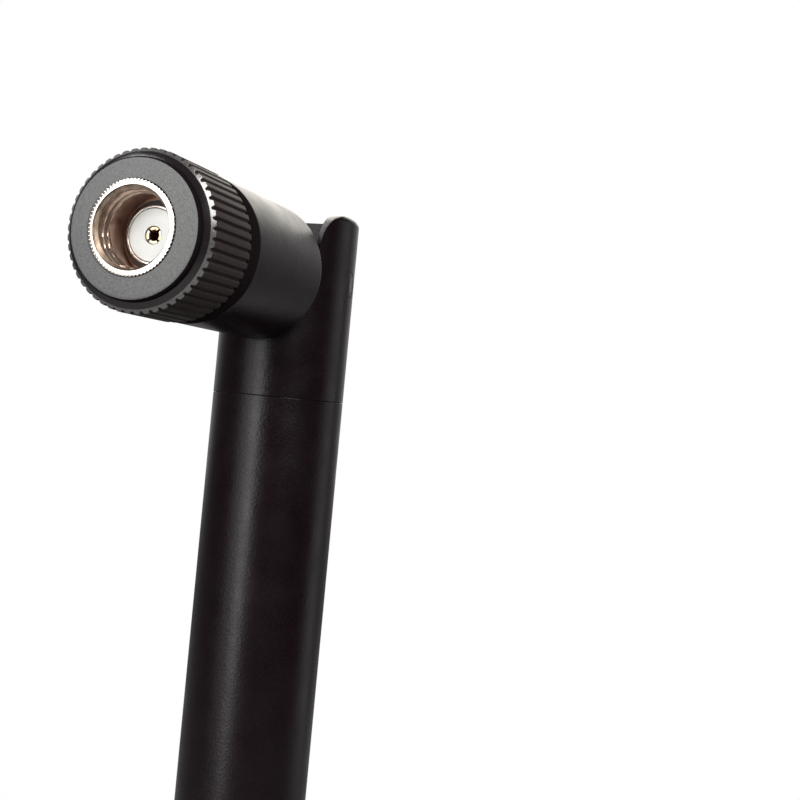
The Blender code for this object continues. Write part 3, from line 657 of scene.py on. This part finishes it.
def make_insert():
    rings = [
        (MOUTH_RADIUS, 0.0),
        (RING_FLAT, 0.0),
        serrated(3.52 * MM, 0.03 * MM, 0.06 * MM),
        serrated(RING_TEETH, 0.08 * MM, SERRATION_DEPTH),
        serrated(RING_TEETH, 0.84 * MM, SERRATION_DEPTH),
        (INSERT_RADIUS, INSERT_SHOULDER),
        (INSERT_RADIUS, INSERT_END),
        (BARREL_BORE, INSERT_END),
        (BARREL_BORE, RELIEF_END),
        (RELIEF_RADIUS, RELIEF_END),
        (RELIEF_RADIUS, THREAD_END + 0.05 * MM),
    ]
    for row in range(THREAD_ROWS, -1, -1):
        rings.append(thread_ring(THREAD_START + (THREAD_END - THREAD_START) * row / THREAD_ROWS))
    insert = ring_solid("nut_insert_threaded", SERRATIONS * SERRATION_COLUMNS, rings)
    paint(insert, nickel, thread_shade_paint, relief_light_paint, chamfer)
    # Inside the mouth, the thread takes the painted shade, the relief groove takes the painted light, and
    # the mouth's chamfer takes the darkest painted shade.
    for face in insert.data.polygons:
        if face.center.y > 0.05 * MM and math.hypot(face.center.x, face.center.z) < MOUTH_RADIUS + 0.10 * MM:
            face.material_index = INSERT_THREAD if face.center.y < THREAD_END else INSERT_RELIEF
            if face.center.y < MOUTH_CHAMFER_END:
                face.material_index = INSERT_CHAMFER
    place(insert, "nut", "nickel_plate", "nut_insert")


# Stations along the connector's axis, from its mouth inward
LIP_START = 3.23 * MM
DISC_START = 3.28 * MM
CONTACT_START = 3.38 * MM
BARREL_START = 4.35 * MM
SNAP_START = 5.30 * MM
SNAP_END = 6.00 * MM
BARREL_END = 8.45 * MM
DISC_END = 10.88 * MM
SHELL_BORE_END = 10.93 * MM
WIRE_BORE_END = 11.08 * MM
CUP_END = 11.98 * MM
REAR_WEB_START = 12.03 * MM
COLLAR_END = 12.55 * MM
POST_END = 16.55 * MM

LIP_INNER = 2.05 * MM
LIP_OUTER = 2.22 * MM
BARREL_RADIUS = 2.68 * MM
SNAP_FLOOR = 2.35 * MM
COLLAR_RADIUS = 3.20 * MM
POST_RADIUS = 0.85 * MM
POST_BORE = 0.50 * MM
DISC_RADIUS = 2.00 * MM
CONTACT_HOLE = 0.69 * MM
CONTACT_RADIUS = 0.64 * MM
CONTACT_MOUTH = 0.38 * MM
CONTACT_DEPTH = 2.80 * MM
CUP_RADIUS = 0.42 * MM
WIRE_BORE = 0.20 * MM
AXIS_GAP = 0.02 * MM
CONTACT_SLOT_HALF = 0.10 * MM
CONTACT_SLOT_DEPTH = 2.20 * MM
CONTACT_SLOT_TURN = math.radians(45)


def make_shell():
    shell = turned(
        "ferrule_shell_turned",
        [
            (LIP_INNER, LIP_START, 0.03 * MM),
            (LIP_OUTER, LIP_START, 0.05 * MM),
            (LIP_OUTER, BARREL_START),
            (BARREL_RADIUS, BARREL_START, 0.08 * MM),
            (BARREL_RADIUS, SNAP_START),
            (SNAP_FLOOR, SNAP_START),
            (SNAP_FLOOR, SNAP_END),
            (BARREL_RADIUS, SNAP_END),
            (BARREL_RADIUS, BARREL_END),
            (COLLAR_RADIUS, BARREL_END),
            (COLLAR_RADIUS, COLLAR_END),
            (POST_RADIUS, COLLAR_END),
            (POST_RADIUS, POST_END),
            (POST_BORE, POST_END),
            (POST_BORE, REAR_WEB_START),
            (CONTACT_HOLE, REAR_WEB_START),
            (CONTACT_HOLE, SHELL_BORE_END),
            (LIP_INNER, SHELL_BORE_END),
        ],
        MEDIUM,
    )
    paint(shell, nickel)
    place(shell, "base", "nickel_plate", "ferrule_shell")


def make_disc():
    disc = turned(
        "dielectric_turned",
        [
            (CONTACT_HOLE, DISC_START, 0.03 * MM),
            (DISC_RADIUS, DISC_START, 0.06 * MM),
            (DISC_RADIUS, DISC_END),
            (CONTACT_HOLE, DISC_END),
        ],
        MEDIUM,
    )
    paint(disc, white)
    place(disc, "base", "white_insulator", "dielectric")


def make_contact():
    contact = turned(
        "centre_contact_slotted",
        [
            (AXIS_GAP, CONTACT_START + CONTACT_DEPTH),
            (CONTACT_MOUTH, CONTACT_START + CONTACT_DEPTH),
            (CONTACT_MOUTH, CONTACT_START, 0.10 * MM),
            (CONTACT_RADIUS, CONTACT_START, 0.05 * MM),
            (CONTACT_RADIUS, DISC_END),
            (CUP_RADIUS, DISC_END),
            (CUP_RADIUS, CUP_END),
            (WIRE_BORE, CUP_END),
            (WIRE_BORE, WIRE_BORE_END),
            (AXIS_GAP, WIRE_BORE_END),
        ],
        COARSE,
    )
    slots = []
    for turn in (-CONTACT_SLOT_TURN, CONTACT_SLOT_TURN):
        slot = box(
            "slot",
            (-CONTACT_SLOT_HALF, CONTACT_START - 1 * MM, -1 * MM),
            (CONTACT_SLOT_HALF, CONTACT_START + CONTACT_SLOT_DEPTH, 1 * MM),
        )
        slot.data.transform(Matrix.Rotation(turn, 4, "Y"))
        slots.append(slot)
    carve(contact, "DIFFERENCE", slots)
    paint(contact, gold, gold_painted_shade)
    # Faces inside the socket take the painted shade gold.
    for face in contact.data.polygons:
        reach = math.hypot(face.center.x, face.center.z)
        if face.center.y > CONTACT_START + 0.10 * MM and reach < CONTACT_RADIUS - 0.04 * MM:
            face.material_index = 1
    contact.data.shade_smooth()
    contact.data.set_sharp_from_angle(angle=SHARP_ANGLE)
    place(contact, "base", "gold_plate", "centre_contact")


# Sleeve, neck and knuckle


SLEEVE_BORE = 3.25 * MM
SLEEVE_PAINTED_SHADE_BAND = 0.80 * MM
SLEEVE_END_WALL = 3.60 * MM
SLEEVE_EYE = 0.30 * MM
KNUCKLE_ROOT = 2.40 * MM
COVER_HALF = 3.60 * MM
COVER_GAP = 0.06 * MM
CABLE_FAN = 1.25 * MM
CHANNEL_START = SLEEVE_END - 7.0 * MM
PIN_BORE = 1.30 * MM
PIN_BORE_START = 1.70 * MM


def knuckle_block(name):
    head = arc(PIVOT, KNUCKLE_HALF, -math.pi / 2, math.pi / 2, COARSE)
    root = SLEEVE_END - KNUCKLE_ROOT
    outline = [(root, -KNUCKLE_HALF), *head, (root, KNUCKLE_HALF)]
    return side_prism(name, outline, KNUCKLE_HALF, KNUCKLE_EDGE)


def pin_bores():
    bores = []
    for side in (-1, 1):
        bore = rod("bore", PIN_BORE, PIN_BORE_START, 8 * MM)
        bore.data.transform(at_pivot(-side * math.pi / 2, "Z"))
        bores.append(bore)
    return bores


def make_sleeve():
    sleeve = turned(
        "base_sleeve_turned",
        [
            (SLEEVE_BORE, SLEEVE_START, 0.10 * MM),
            (SLEEVE_RADIUS, SLEEVE_START, 1.00 * MM),
            (SLEEVE_RADIUS, SLEEVE_END, 0.55 * MM),
            (SLEEVE_EYE, SLEEVE_END),
            (SLEEVE_EYE, SLEEVE_END - SLEEVE_END_WALL),
            (SLEEVE_BORE, SLEEVE_END - SLEEVE_END_WALL),
        ],
        OUTER,
    )
    carve(sleeve, "UNION", [knuckle_block("block")])
    pocket = box(
        "pocket",
        (-COVER_HALF, SLEEVE_END - 1.62 * MM, -COVER_GAP),
        (COVER_HALF, PIVOT - 0.23 * MM, COVER_HALF),
    )
    channel = rod("channel", CHANNEL_RADIUS, CHANNEL_START, PIVOT)
    fan = box("fan", (-CABLE_FAN, PIVOT - CABLE_FAN, -8 * MM), (CABLE_FAN, PIVOT + 8 * MM, CABLE_FAN))
    carve(sleeve, "DIFFERENCE", [pocket, channel, fan, *pin_bores()])
    paint(sleeve, moulded_black, grip_shade_paint)
    # The sleeve's first 0.8 mm behind the nut takes the grip's painted shade colours: painted shade between
    # the nut and the sleeve.
    for face in sleeve.data.polygons:
        if face.center.y < SLEEVE_START + SLEEVE_PAINTED_SHADE_BAND:
            face.material_index = 1
    even_shading(sleeve)
    place(sleeve, "base", "moulded_black", "base_sleeve")


def make_cover():
    cover = knuckle_block("neck_cover_moulded")
    keep = box(
        "keep",
        (-8 * MM, SLEEVE_END - 1.5 * MM, COVER_GAP),
        (8 * MM, PIVOT - 0.35 * MM, 8 * MM),
    )
    carve(cover, "INTERSECT", [keep])
    channel = rod("channel", CHANNEL_RADIUS, CHANNEL_START, PIVOT)
    carve(cover, "DIFFERENCE", [channel, *pin_bores()])
    paint(cover, moulded_black)
    soften(cover, 0.06 * MM)
    even_shading(cover)
    place(cover, "base", "moulded_black", "neck_cover")


# Arm

SEAM = 10.69 * MM
SLOT_HALF = 3.65 * MM
SEAM_GAP = 0.03 * MM
EAR_BLEND = 1.40 * MM
EAR_EDGE = 0.34 * MM
SPIGOT_RADIUS = 5.01 * MM
SPIGOT_LENGTH = 5.80 * MM
FORK_EYE = 0.20 * MM
BEYOND = 12 * MM
PIN_START = 1.80 * MM
PIN_END = 5.94 * MM
RADOME_BORE = 5.06 * MM
TIP_ROUNDING = 3.20 * MM
TIP_ROUNDING_INSIDE = 2.30 * MM
TIP_WALL = 1.20 * MM
TIP_EYE = 0.05 * MM


def ear_corner(rise, offset, radius):
    """Outline of what is cut from an ear's end: a quarter round that fades into the slot's edge."""
    bend = [(y, z - offset) for y, z in arc(-rise, radius, math.pi, 3 * math.pi / 2, 32)]
    return [(-BEYOND, bend[0][1]), *bend, (1.6 * MM, -ARM_RADIUS), (-BEYOND, -BEYOND)]


def round_ear_edges(fork):
    """Rounds the edge where each ear's front corner meets the round of the arm."""
    bm = bmesh.new()
    bm.from_mesh(fork.data)
    bm.normal_update()
    rims = []
    for edge in bm.edges:
        middle = (edge.verts[0].co + edge.verts[1].co) / 2
        in_front = middle.z < -0.3 * MM and middle.y < -1.0 * MM
        on_ear = abs(middle.x) > SLOT_HALF + 0.1 * MM
        folded = len(edge.link_faces) == 2 and edge.calc_face_angle() > math.radians(20)
        if in_front and on_ear and folded:
            rims.append(edge)
    bmesh.ops.bevel(
        bm, geom=rims, offset=EAR_EDGE, segments=5, profile=0.5, affect="EDGES", clamp_overlap=True
    )
    bm.to_mesh(fork.data)
    bm.free()


def make_fork():
    fork = turned(
        "fork_moulded",
        [
            (FORK_EYE, -EAR_REACH),
            (ARM_RADIUS, -EAR_REACH, 0.65 * MM),
            (ARM_RADIUS, RADOME_START - SEAM_GAP, 0.04 * MM),
            (SPIGOT_RADIUS, RADOME_START - SEAM_GAP),
            (SPIGOT_RADIUS, SEAM + SPIGOT_LENGTH),
            (FORK_EYE, SEAM + SPIGOT_LENGTH),
        ],
        OUTER,
    )
    slot = box("slot", (-SLOT_HALF, -BEYOND, -BEYOND), (SLOT_HALF, SLOT_HALF, SLOT_HALF))
    outer = ear_corner(1.80 * MM, 0.75 * MM, 4.25 * MM)
    inner = ear_corner(2.54 * MM, -0.62 * MM, 3.70 * MM)
    sections = [(-BEYOND, outer), (-SLOT_HALF - EAR_BLEND, outer), (-SLOT_HALF, inner)]
    sections += [(-x, outline) for x, outline in reversed(sections)]
    corner = side_loft("corner", sections)
    carve(fork, "DIFFERENCE", [slot, corner])
    round_ear_edges(fork)
    soften(fork, 0.08 * MM)
    channel = rod("channel", CHANNEL_RADIUS, 0.0, 20 * MM)
    holes = rod("holes", PIN_RADIUS + 0.02 * MM, -8 * MM, 8 * MM, 64)
    holes.data.transform(Matrix.Rotation(-math.pi / 2, 4, "Z"))
    carve(fork, "DIFFERENCE", [channel, holes])
    paint(fork, moulded_black)
    even_shading(fork)
    hang(fork)
    place(fork, "arm", "moulded_black", "fork")


def make_pin(name, side):
    """A hinge pin, whose outer end follows the round of the arm."""
    pin = turned(
        name + "_domed",
        [
            (AXIS_GAP, PIN_START),
            (PIN_RADIUS, PIN_START, 0.15 * MM),
            (PIN_RADIUS, PIN_END, 0.03 * MM),
            (AXIS_GAP, PIN_END),
        ],
        64,
    )
    pin.data.transform(Matrix.Rotation(-side * math.pi / 2, 4, "Z"))
    for vert in pin.data.vertices:
        if abs(vert.co.x) > PIN_END - 0.14 * MM:
            lost = ARM_RADIUS - math.sqrt(ARM_RADIUS ** 2 - vert.co.z ** 2)
            vert.co.x -= side * lost
    paint(pin, moulded_black)
    hang(pin)
    place(pin, "arm", "moulded_black", name)


def make_radome():
    radome = turned(
        "radome_moulded",
        [
            (RADOME_BORE, RADOME_START),
            (ARM_RADIUS, RADOME_START, 0.04 * MM),
            (ARM_RADIUS, ARM_LENGTH, TIP_ROUNDING),
            (TIP_EYE, ARM_LENGTH),
            (TIP_EYE, ARM_LENGTH - TIP_WALL),
            (RADOME_BORE, ARM_LENGTH - TIP_WALL, TIP_ROUNDING_INSIDE),
        ],
        FINE,
    )
    paint(radome, moulded_black)
    hang(radome)
    place(radome, "arm", "moulded_black", "radome")


make_grip()
make_insert()
make_shell()
make_disc()
make_contact()
make_sleeve()
make_cover()
make_fork()
make_pin("hinge_pin_left", -1)
make_pin("hinge_pin_right", 1)
make_radome()


# Floor, light and camera

BACKDROP_DIRECTION = (-0.35, 0.75, 0.55)
WHITE = (1.0, 1.0, 1.0)
FLOOR_RADIUS = 3.0
FLOOR_GAP = 1.0 * MM
ON_PART = (0.0, 0.01, 0.0)
CAMERA_PLACE = (0.047666, -0.079743, -0.012015)
CAMERA_TURN = (90.9936, -5.3209, 18.2015)
CAMERA_LENS = 57.53


def math_node(tree, operation, first, second):
    node = tree.nodes.new("ShaderNodeMath")
    node.operation = operation
    for socket, value in zip(node.inputs, (first, second)):
        if isinstance(value, float):
            socket.default_value = value
        else:
            tree.links.new(value, socket)
    return node.outputs[0]


def white_background(tree, surface, white, seen, mirrored):
    """Mixes plain white over a surface: seen is its share to the camera, mirrored in gloss and glass."""
    rays = tree.nodes.new("ShaderNodeLightPath").outputs
    indirect = math_node(tree, "MAXIMUM", rays["Is Glossy Ray"], rays["Is Transmission Ray"])
    direct = math_node(tree, "MULTIPLY", rays["Is Camera Ray"], seen)
    share = math_node(tree, "MAXIMUM", direct, math_node(tree, "MULTIPLY", indirect, mirrored))
    mix = tree.nodes.new("ShaderNodeMixShader")
    tree.links.new(share, mix.inputs["Fac"])
    tree.links.new(surface, mix.inputs[1])
    tree.links.new(white, mix.inputs[2])
    return mix.outputs["Shader"]


def make_floor():
    bm = bmesh.new()
    bmesh.ops.create_circle(bm, cap_ends=True, segments=96, radius=FLOOR_RADIUS)
    mesh = bpy.data.meshes.new("floor")
    bm.to_mesh(mesh)
    bm.free()
    floor = add_piece("floor", mesh)
    floor.location = (0.0, 0.0, -ARM_LENGTH - FLOOR_GAP)
    material = new_material("floor_pale", (0.36, 0.36, 0.36), 0.8)
    tree = material.node_tree
    place_node = tree.nodes.new("ShaderNodeTexCoord")
    away = tree.nodes.new("ShaderNodeVectorMath")
    away.operation = "LENGTH"
    tree.links.new(place_node.outputs["Object"], away.inputs[0])
    seen = span(material, away.outputs["Value"], 0.75, 1.0, 0.12, 0.42)
    emission = tree.nodes.new("ShaderNodeEmission")
    shader = tree.nodes["Principled BSDF"]
    shade = white_background(tree, shader.outputs["BSDF"], emission.outputs["Emission"], seen, 0.12)
    tree.links.new(shade, tree.nodes["Material Output"].inputs["Surface"])
    paint(floor, material)


def make_world():
    """A white studio wall behind and above, a dimmer room in front, and plain white to the camera."""
    world = bpy.data.worlds.new("studio")
    bpy.context.scene.world = world
    world.use_nodes = True
    tree = world.node_tree
    ambient = tree.nodes["Background"]
    ambient.inputs["Color"].default_value = (*WHITE, 1.0)
    ambient.inputs["Strength"].default_value = 0.10
    white = tree.nodes.new("ShaderNodeBackground")
    white.inputs["Color"].default_value = (*WHITE, 1.0)
    direction = tree.nodes.new("ShaderNodeTexCoord")
    behind = tree.nodes.new("ShaderNodeVectorMath")
    behind.operation = "DOT_PRODUCT"
    behind.inputs[1].default_value = BACKDROP_DIRECTION
    tree.links.new(direction.outputs["Generated"], behind.inputs[0])
    wall = tree.nodes.new("ShaderNodeMapRange")
    wall.inputs["From Min"].default_value = 0.50
    wall.inputs["From Max"].default_value = 0.90
    wall.inputs["To Min"].default_value = 0.04
    tree.links.new(behind.outputs["Value"], wall.inputs["Value"])
    shade = white_background(
        tree, ambient.outputs["Background"], white.outputs["Background"], 1.0, wall.outputs["Result"]
    )
    tree.links.new(shade, tree.nodes["World Output"].inputs["Surface"])


def add_lamp(name, place_at, aim, size, power, colour=WHITE):
    """A softbox of (width, height), upright where it faces the object from the side."""
    data = bpy.data.lights.new(name, "AREA")
    data.shape = "RECTANGLE"
    data.size, data.size_y = size
    data.energy = power
    data.color = colour
    lamp = bpy.data.objects.new(name, data)
    lamp.location = place_at
    lamp.rotation_euler = (Vector(aim) - Vector(place_at)).to_track_quat("-Z", "Y").to_euler()
    bpy.context.scene.collection.objects.link(lamp)


make_floor()
make_world()
add_lamp("strip", (-0.135, -0.585, 0.07), ON_PART, (0.15, 0.46), 2.5)
add_lamp("fill", (-0.30, -0.51, 0.07), ON_PART, (0.22, 0.36), 0.75)
add_lamp("bounce", (0.0, -0.33, -0.32), ON_PART, (0.34, 0.18), 0.42)
add_lamp("side", (0.44, 0.36, -0.03), (0.0, 0.03, -0.01), (0.26, 0.45), 0.40)
add_lamp("crown", (-0.34, -0.31, 0.36), (0.0, 0.0, 0.0), (0.22, 0.20), 1.10)
add_lamp("key", (0.34, -0.27, 0.37), ON_PART, (0.22, 0.40), 5.0, (1.0, 0.985, 0.94))
add_lamp("back", (-0.15, 0.61, 0.30), (0.0, 0.02, 0.0), (0.46, 0.34), 0.9, (1.0, 0.95, 0.82))

camera_data = bpy.data.cameras.new("camera")
camera_data.lens = CAMERA_LENS
camera_data.sensor_width = 36.0
camera_data.clip_start = 0.005
camera = bpy.data.objects.new("camera", camera_data)
camera.location = CAMERA_PLACE
camera.rotation_euler = tuple(math.radians(turn) for turn in CAMERA_TURN)
bpy.context.scene.collection.objects.link(camera)
bpy.context.scene.camera = camera

bpy.context.scene.view_settings.view_transform = "Standard"
